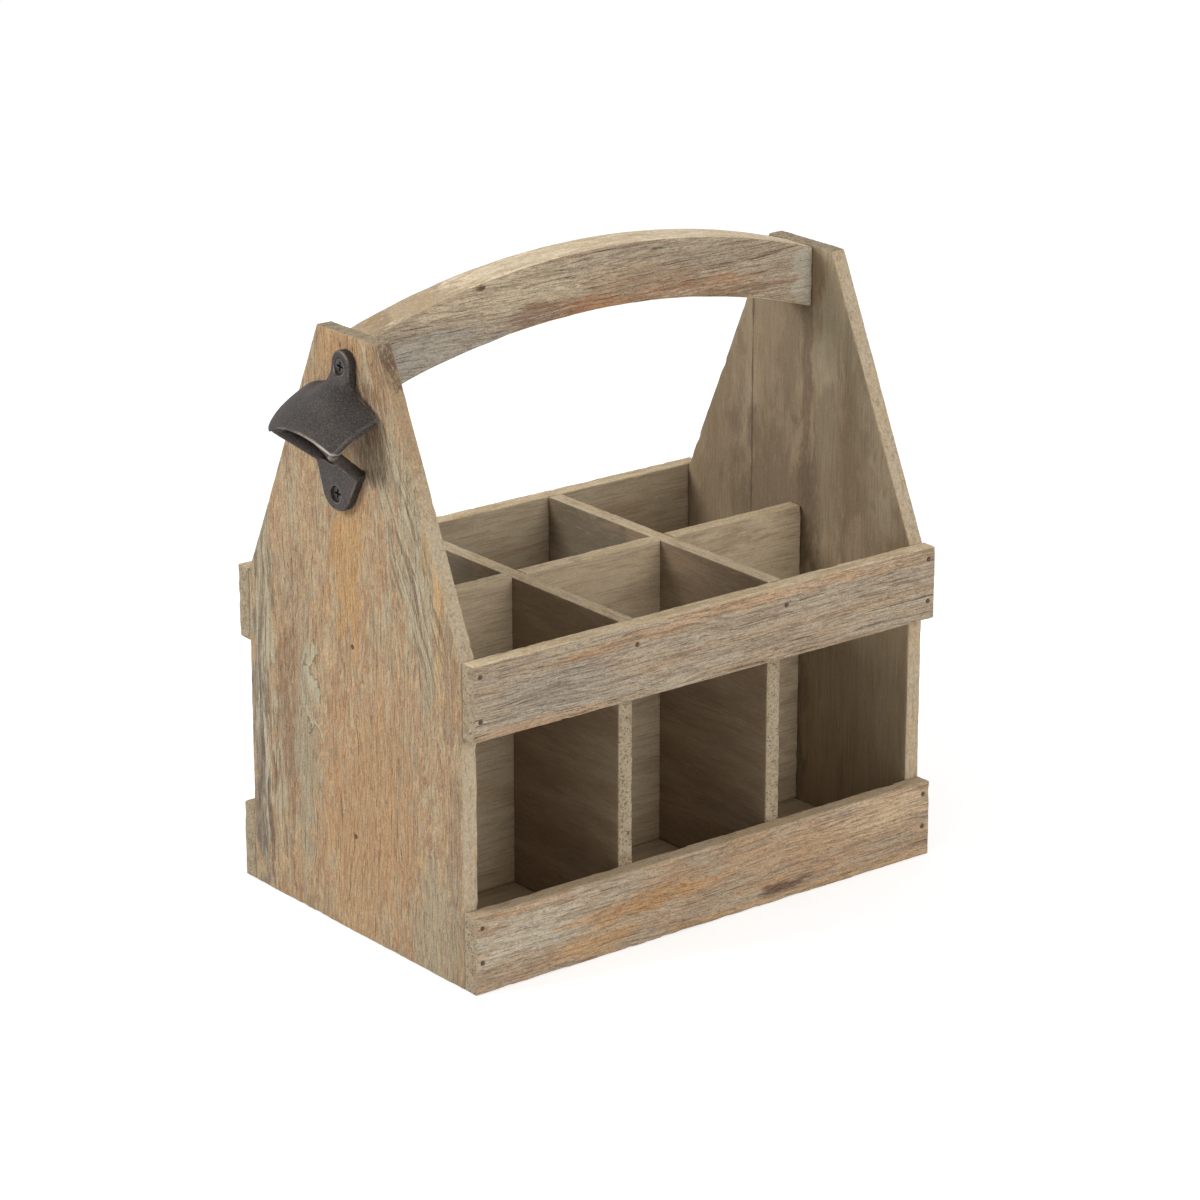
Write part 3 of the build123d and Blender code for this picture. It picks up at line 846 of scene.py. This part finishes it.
# %% Place the opener by its screws
upper_screw = np.mean(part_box("upper_opener_screw"), axis=0)
lower_screw = np.mean(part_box("lower_opener_screw"), axis=0)
opener_middle = (upper_screw + lower_screw) / 2
opener_middle[0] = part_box("left_end_panel")[0][0]
screw_step = upper_screw - lower_screw
opener_lean = math.atan2(-screw_step[1], screw_step[2])
hole_height = math.hypot(screw_step[1], screw_step[2]) / 2 / mm
print("Opener leans by", math.degrees(opener_lean), "degrees; its holes lie", hole_height, "mm from its middle")

# %% Join and cut fields


def join(one, other, fillet):
    """The nearer of two fields, and where they are nearly equal a little less than both, by a quadratic in
    their difference as a share of the fillet."""
    share = np.clip(0.5 + 0.5 * (other - one) / fillet, 0, 1)
    return other * (1 - share) + one * share - fillet * share * (1 - share)


def cut(body, tool, round_off):
    """The body without the tool, with a rounded edge: the join of both turned inside out, turned back."""
    return -join(-body, tool, round_off)


def bar(places, start, end, start_radius, end_radius):
    """A round bar whose radius changes evenly: the distance to the nearest point of its line, less the radius
    there."""
    start, end = np.array(start, float), np.array(end, float)
    along = end - start
    share = np.clip((places - start) @ along / (along @ along), 0, 1)
    radius = start_radius + share * (end_radius - start_radius)
    return np.linalg.norm(places - start - share[:, None] * along, axis=1) - radius


def plate(flat, out, thickness, edge):
    """A plate on the wall with a rounded front edge, from its outline's distance in the wall's plane."""
    beside, above = flat + edge, out - (thickness - edge)
    outside = np.hypot(np.maximum(beside, 0), np.maximum(above, 0))
    return outside + np.minimum(np.maximum(beside, above), 0) - edge

# %% The hood's domed sheet
hood_reach, hood_half, hood_rise, hood_power = 35.6, 30.5, 8.6, 2.4
hood_lean, hood_out, hood_height = math.radians(22.5), 4.1, 11.1


def hood_top(places):
    """How far a point lies above a leaning oval dome. The dome's height falls from its rise by the power of
    the share of the way from its middle to its oval foot, and the height is divided by the slope's length."""
    out, up = places[:, 0] - hood_out, places[:, 2] - hood_height
    along = out * math.cos(hood_lean) - up * math.sin(hood_lean)
    above = out * math.sin(hood_lean) + up * math.cos(hood_lean)
    share = np.maximum(np.hypot(along / hood_reach, places[:, 1] / hood_half), 1e-6)
    slope = hood_rise * hood_power * share ** (hood_power - 2)
    steep = np.sqrt(1 + (slope * along / hood_reach**2) ** 2 + (slope * places[:, 1] / hood_half**2) ** 2)
    return (above + hood_rise * (share**hood_power - 1)) / steep

# %% The hood with its neck, rims and mouth
neck, neck_fillet = ((-2.0, 0.0, 27.0), (6.5, 0.0, 13.0), 5.6, 8.5), 9.0
hood_wall, rim_round, back_round, wall_gap = 3.2, 1.0, 0.8, 2.0
rim_wall, rim_corner = (2.0, 6.4), (25.0, -4.0)
near_limit, near_bottom, near_round = 27.8, -2.0, 2.5
far_limit, far_bottom, far_round = 26.2, -0.6, 8.5
side_draft = 0.07
mouth_foot, mouth_rise, mouth_shift, mouth_half, mouth_start = -2.0, 6.4, 4.0, 19.0, 18.0
mouth_fall, mouth_run = 4.7, 21.0


def hood(places):
    """The dome joined to its neck and hollowed by its wall, then cut: below by a rim that slants from the wall
    to the two corners, at the sides by planes with a draft, and in front by the mouth, whose edge is half an
    ellipse at the back end and a flat parabola at the front end."""
    x, y, z = places.T
    sheet = join(hood_top(places), bar(places, *neck), neck_fillet)
    sheet = cut(sheet, hood_top(places) + hood_wall, rim_round)
    run, fall = rim_corner[0] - rim_wall[0], rim_corner[1] - rim_wall[1]
    rim = ((z - rim_wall[1]) * run - (x - rim_wall[0]) * fall) / math.hypot(run, fall)
    bottom = np.where(y < 0, far_bottom, near_bottom)
    sheet = cut(sheet, np.minimum(rim, z - bottom), rim_round)
    corner_round = np.where(y < 0, far_round, near_round)
    limit = np.where(y < 0, far_limit, near_limit) - side_draft * x
    past_side = np.maximum(np.abs(y) - (limit - corner_round), 0)
    past_bottom = np.maximum(bottom + corner_round - z, 0)
    sheet = cut(sheet, corner_round - np.hypot(past_side, past_bottom), rim_round)
    away = y - mouth_shift
    ellipse = mouth_rise * np.sqrt(np.clip(1 - (away / mouth_half) ** 2, 0, 1))
    parabola = mouth_rise - mouth_fall * (away / mouth_run) ** 2
    edge = mouth_foot + np.where(away < 0, ellipse, parabola)
    mouth = np.maximum(np.maximum(z - edge, -mouth_half - away), mouth_start - x)
    return cut(cut(sheet, mouth, rim_round), x - wall_gap, back_round)

# %% The lug and the lower plate
plate_thickness, plate_edge = 4.6, 0.9
lug_radius, lug_top, lug_foot = 6.8, hole_height + 0.7, 25.0
foot_radius, foot_drop, shelf_drop, shelf_half = 11.2, 28.0, 17.5, 17.0


def lug(places):
    """A plate round an upright line, from the upper hole down into the neck."""
    x, y, z = places.T
    beyond = np.maximum(z - lug_top, 0) + np.minimum(z - lug_foot, 0)
    return plate(np.hypot(y, beyond) - lug_radius, x, plate_thickness, plate_edge)


def foot(places):
    """A plate round the lower hole: a circle, and above it the shape between its two tangents from the ends
    of the flat shelf."""
    x, y, z = places.T
    side, up = np.abs(y), z + foot_drop
    across, rise = shelf_half, foot_drop - shelf_drop
    touch = math.atan2(rise, across) - math.acos(foot_radius / math.hypot(across, rise))
    tangent = side * math.cos(touch) + up * math.sin(touch) - foot_radius
    under_shelf = np.maximum(np.maximum(z + shelf_drop, tangent), foot_radius * math.sin(touch) - up)
    return plate(np.minimum(under_shelf, np.hypot(y, up) - foot_radius), x, plate_thickness, plate_edge)

# %% The whole casting
strut_foot = (2.5, 15.0, -17.2)
near_strut = ((20.8, 20.6, -2.2), strut_foot, 2.7, 2.8)
far_strut = ((22.8, 21.2, -1.6), strut_foot, 3.5, 2.9)
lip = ((21.5, 20.6, -1.4), (25.5, 9.5, 3.6), 2.6, 1.1)
lug_fillet, strut_fillet, lip_fillet, foot_fillet, bore_round = 4.0, 1.6, 2.0, 1.0, 0.5
bore_sinks = {hole_height: 0.3, -hole_height: 1.4}
head_radius, shank_radius, cone_depth = 3.95, 2.05, 1.9
hood_shift = (0.0, 0.3, 0.0)


def casting(places):
    """The hood, the lug, the foot and the struts joined in fillets, cut flat at the wall and bored for the two
    countersunk screws. Each strut runs from a corner of the hood back down to an end of the shelf, and a thick
    lip runs from its upper end behind the mouth's edge."""
    x, y, z = places.T
    mirrored = np.column_stack([x, np.abs(y + hood_shift[1]), z])
    body = join(hood(places + hood_shift), lug(places), lug_fillet)
    strut = np.where(y < 0, bar(mirrored, *far_strut), bar(mirrored, *near_strut))
    body = join(join(body, strut, strut_fillet), bar(mirrored, *lip), lip_fillet)
    body = np.maximum(join(body, foot(places), foot_fillet), -x)
    for height, sink in bore_sinks.items():
        away, deep = np.hypot(y, z - height), plate_thickness - sink - x
        mouth = np.maximum(away - head_radius, deep)
        cone = np.maximum((away - head_radius + deep) * math.sqrt(0.5), np.maximum(-deep, deep - cone_depth))
        body = cut(body, np.minimum(np.minimum(mouth, cone), away - shank_radius), bore_round)
    return body

# %% [markdown]
# ## From a field to a skin
#
# The lattice skin of the cells inside the casting is blocky. Each round of drawing moves every point to the
# mean of its neighbours, which evens the quads, and then along the field's slope on to the surface.

# %% Draw a skin on to a field
evening, draws, least_slope, longest_step = 0.6, 2, 0.5, 0.4


def field_slope(field, places, step):
    """The slope of a field by differences over a small step along each axis."""
    steps = np.eye(3) * step
    return np.column_stack([field(places + s) - field(places - s) for s in steps]) / (2 * step)


def field_skin(field, low, high, pitch, rounds):
    """The points and quads of a field's surface. Evening is the share of the way to the neighbours' mean, and
    a draw is the field over its slope squared, no longer than the longest step as a share of the pitch."""
    planes = [np.arange(a - 1.5 * pitch, b + 1.6 * pitch, pitch) for a, b in zip(low, high)]
    middles = [(p[1:] + p[:-1]) / 2 for p in planes]
    places = np.stack(np.meshgrid(*middles, indexing="ij"), axis=-1).reshape(-1, 3)
    points, quads, faces = lattice_skin(planes, (field(places) < 0).reshape([len(m) for m in middles]))
    one, other = np.concatenate([quads[:, [i, (i + 1) % 4]] for i in range(4)]).T
    number = np.bincount(one, minlength=len(points)) + np.bincount(other, minlength=len(points))
    for _ in range(rounds):
        total = np.column_stack([
            np.bincount(one, points[other, i], len(points)) + np.bincount(other, points[one, i], len(points))
            for i in range(3)
        ])
        points = points + evening * (total / number[:, None] - points)
        for _ in range(draws):
            slope = field_slope(field, points, pitch / 8)
            reach = field(points) / np.maximum((slope**2).sum(axis=1), least_slope**2)
            points = points - slope * np.clip(reach, -longest_step * pitch, longest_step * pitch)[:, None]
    return points, quads

# %% Build the casting
casting_low, casting_high, casting_pitch = (0, -29, -40), (38, 29, 41), 0.42
bulge_reach, slope_step, grit_depth = 0.7, 0.05, 0.055
grit_layers = [(1.3, 1.0, 5), (3.1, 0.8, 6), (7.0, 0.6, 7)]
handled_corner, handled_reach = (26.0, 21.5, 0.5), 8.0
points, quads = field_skin(casting, casting_low, casting_high, casting_pitch, rounds=5)
around = sum(casting(points + s) for s in np.concatenate([np.eye(3), -np.eye(3)]) * bulge_reach)
marks = {
    "bulge": (around - 6 * casting(points)) / bulge_reach**2,
    "handled": np.exp(-np.linalg.norm(points - handled_corner, axis=1) / handled_reach),
}
slope = field_slope(casting, points, slope_step)
slope /= np.maximum(np.linalg.norm(slope, axis=1, keepdims=True), 1e-6)
grit = sum(share * lattice_noise(points, cell, seed) for cell, share, seed in grit_layers)
points = points - slope * (grit_depth * (1 + grit / 2))[:, None]
turn_cos, turn_sin = math.cos(opener_lean), math.sin(opener_lean)
turn = np.array([[-1, 0, 0], [0, -turn_cos, -turn_sin], [0, -turn_sin, turn_cos]])
points = points @ turn.T * mm + opener_middle
print("The casting has", len(quads), "quads; its bulge reaches", marks["bulge"].max())

# %% The blackened cast iron finish


def blackened_iron(name):
    """Sand-cast grain 0.5 to 2 mm wide as relief, paler metal where the bulge mark shows a worn edge, and
    bright metal on the edges that the handled mark says caps and fingers rub."""
    material, add = start_material(name)
    place = add("TexCoord")
    grit, cloud, smear = (
        add("TexNoise", {"Vector": (place, "Object"), "Scale": scale, "Detail": detail, "Roughness": rough})
        for scale, detail, rough in ((1400.0, 3.0, 0.65), (90.0, 3.0, 0.5), (160.0, 4.0, 0.5))
    )
    bulge = add("Attribute", attribute_name="bulge")
    handled = add("Attribute", attribute_name="handled")
    edge = add("MapRange", (bulge, "Fac"), 0.35, 0.9, interpolation_type="SMOOTHSTEP")
    stain, pit, grain, rubbed = (
        add("MapRange", noise, low, high)
        for noise, low, high in ((cloud, 0.4, 0.65), (grit, 0.5, 0.38), (grit, 0.54, 0.68), (smear, 0.4, 0.62))
    )
    coats = [("#4f4742", 0.6, stain), ("#1f1b19", 0.6, pit), ("#776e67", 0.45, grain)]
    coats += coats_within(add, [("#8a7e76", 0.5, rubbed), ("#b3a89f", 0.9, (handled, "Fac"))], edge)
    rough = add("MapRange", cloud, 0.3, 0.7, 0.5, 0.66)
    end_finish(add, lay_coats(add, "#3b3633", coats), grit, 0.9, 0.3, rough, metallic=0.6)
    return material


iron = blackened_iron("blackened_cast_iron")
opener = mesh_from_quads("opener_casting", points, quads, [iron], np.zeros(len(quads), int), marks)
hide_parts("bottle_opener")
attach(opener, "root")

# %% [markdown]
# ## Brads and screws
#
# The brads are plain steel wire gone brown with rust, and the screws are black-oxide steel. Their packed
# shapes are right, so only their finish changes.

# %% Finish the fasteners


def fastener_steel(name, ground, spot, metallic, roughness):
    """Steel with small spots about 0.6 mm wide where rust or wear breaks its skin."""
    material, add = start_material(name)
    place = add("TexCoord")
    noise = add("TexNoise", {"Vector": (place, "Object"), "Scale": 1600.0, "Detail": 3.0})
    spots = add("MapRange", noise, 0.45, 0.6)
    colour = lay_coats(add, ground, [(spot, 0.8, spots)])
    end_finish(add, colour, noise, 0.3, 0.05, roughness, metallic=metallic)
    return material


fastener_finishes = {
    "_nails": fastener_steel("rusted_brad_steel", "#4a3a30", "#6b4c37", 0.3, 0.7),
    "_screw": fastener_steel("black_oxide_screw_steel", "#3a3635", "#5d5653", 0.8, 0.45),
}
for node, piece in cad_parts.items():
    for ending, finish in fastener_finishes.items():
        if node.endswith(ending):
            piece.data.materials.clear()
            piece.data.materials.append(finish)

# %% [markdown]
# ## Floor, light and camera
#
# The caddy stands on a white sweep in soft, even light. The floor adds a little white of its own to what the
# camera sees, so it reads as pure white and keeps the contact shadow, and no extra light falls on the wood.

# %% Lay the floor
floor_half, floor_lift = 6.0, 0.485


def seen(add):
    """1 for what the camera sees, directly or as a reflection, and 0 for the light that falls on the wood."""
    path = add("LightPath")
    return add("Math MAXIMUM", (path, "Is Camera Ray"), (path, "Is Glossy Ray"))


material, add = start_material("white_sweep")
lift = add("Math MULTIPLY", seen(add), floor_lift)
paper = add("BsdfDiffuse", {"Color": (0.8, 0.8, 0.8, 1)})
glow = add("Emission", {"Color": (1, 1, 1, 1), "Strength": lift})
add("OutputMaterial", {"Surface": add("AddShader", paper, glow)})
corners = np.array([(-1, -1, 0), (1, -1, 0), (1, 1, 0), (-1, 1, 0)]) * floor_half
mesh_from_quads("floor", corners, np.array([range(4)]), [material], np.zeros(1, int), {})

# %% Light the room
lamp_target = Vector((0, 0, 0.12))
world = bpy.data.worlds.new("studio")
bpy.context.scene.world = world
world.use_nodes = True
add = node_adder(world.node_tree)
room, paper = (add("Background", {"Color": (1, 1, 1, 1), "Strength": strength}) for strength in (0.56, 1.0))
add("OutputWorld", {"Surface": add("MixShader", seen(add), room, paper)})


def soft_lamp(name, place, size, watts):
    """A square area lamp at a place, turned to the caddy's middle."""
    data = bpy.data.lights.new(name, "AREA")
    data.shape, data.size, data.energy = "SQUARE", size, watts
    lamp = put_in_scene(name, data)
    lamp.location = place
    lamp.rotation_euler = (lamp.location - lamp_target).to_track_quat("Z", "Y").to_euler()


soft_lamp("key_softbox", (-1.9, 0.8, 1.35), 0.8, 31.0)
soft_lamp("front_softbox", (0.4, -2.2, 1.0), 1.3, 25.0)

# %% Place the camera
camera_turn, camera_rise, aim = math.radians(-38.35), math.radians(18.97), Vector((0, 0, 0.154))
camera_side, camera_drop, camera_distance = 5.374 * mm, 15.733 * mm, 2.1473
camera_data = bpy.data.cameras.new("camera")
camera_data.lens, camera_data.sensor_width = 133.739, 36.0
camera = put_in_scene("camera", camera_data)
camera.rotation_euler = Euler((math.pi / 2 - camera_rise, 0, camera_turn))
camera.location = aim + camera.rotation_euler.to_matrix() @ Vector((camera_side, -camera_drop, camera_distance))
bpy.context.scene.camera = camera
bpy.context.scene.view_settings.view_transform = "Standard"
